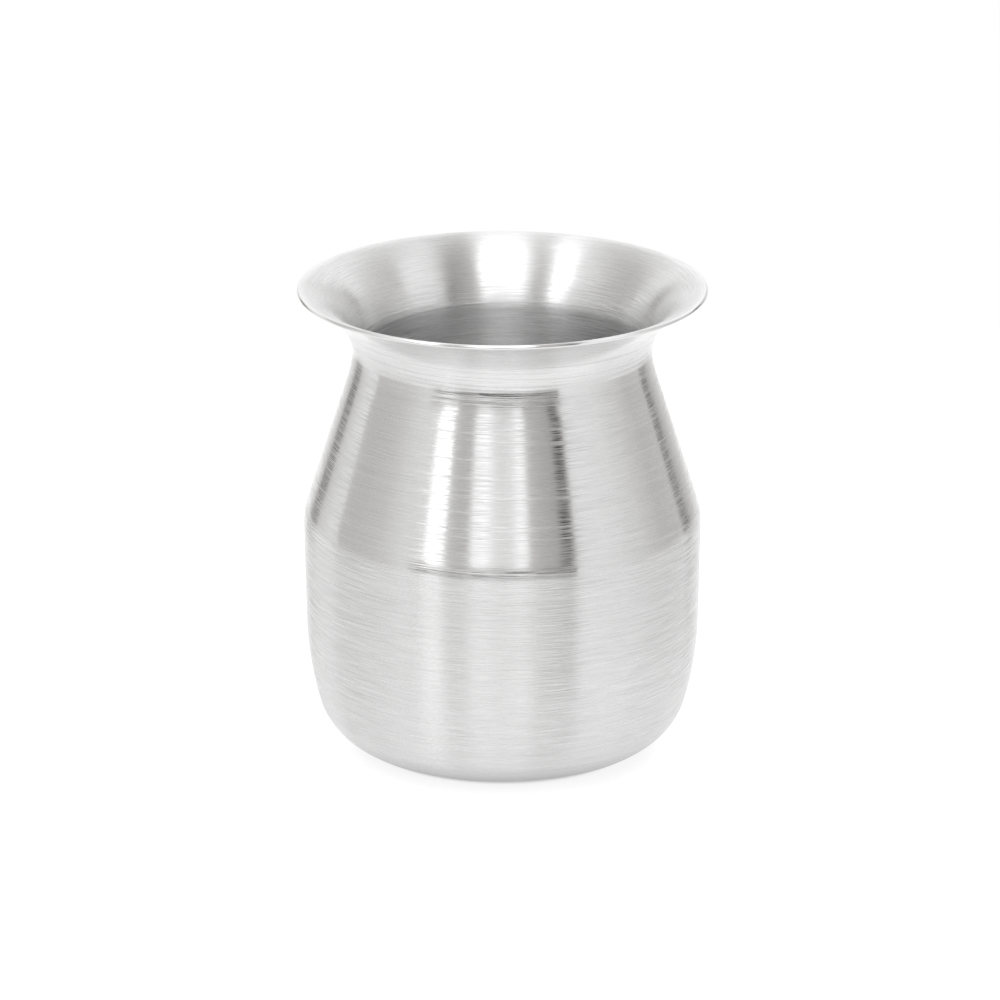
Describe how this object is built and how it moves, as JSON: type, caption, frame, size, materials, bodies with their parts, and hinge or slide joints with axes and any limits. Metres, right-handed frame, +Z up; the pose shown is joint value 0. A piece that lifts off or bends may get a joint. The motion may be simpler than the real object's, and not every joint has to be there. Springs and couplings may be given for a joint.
{
  "type": "lota",
  "caption": "Metal water pot with a wide flared mouth, a short waisted neck, a straight sloping shoulder and a rounded, nearly upright belly on a flat base.",
  "frame": {"origin": "centre of the flat base, on the surface the pot stands on", "axes": "+Z up along the pot's axis, towards the mouth; the pot is round, so X and Y are free"},
  "size_m": [0.1, 0.1, 0.1164],
  "materials": {
    "satin_steel": "satin stainless steel, brushed round the pot inside and out, with fine scratches along the brushing"
  },
  "bodies": {
    "root": {"pot_wall": "satin_steel"}
  },
  "joints": []
}
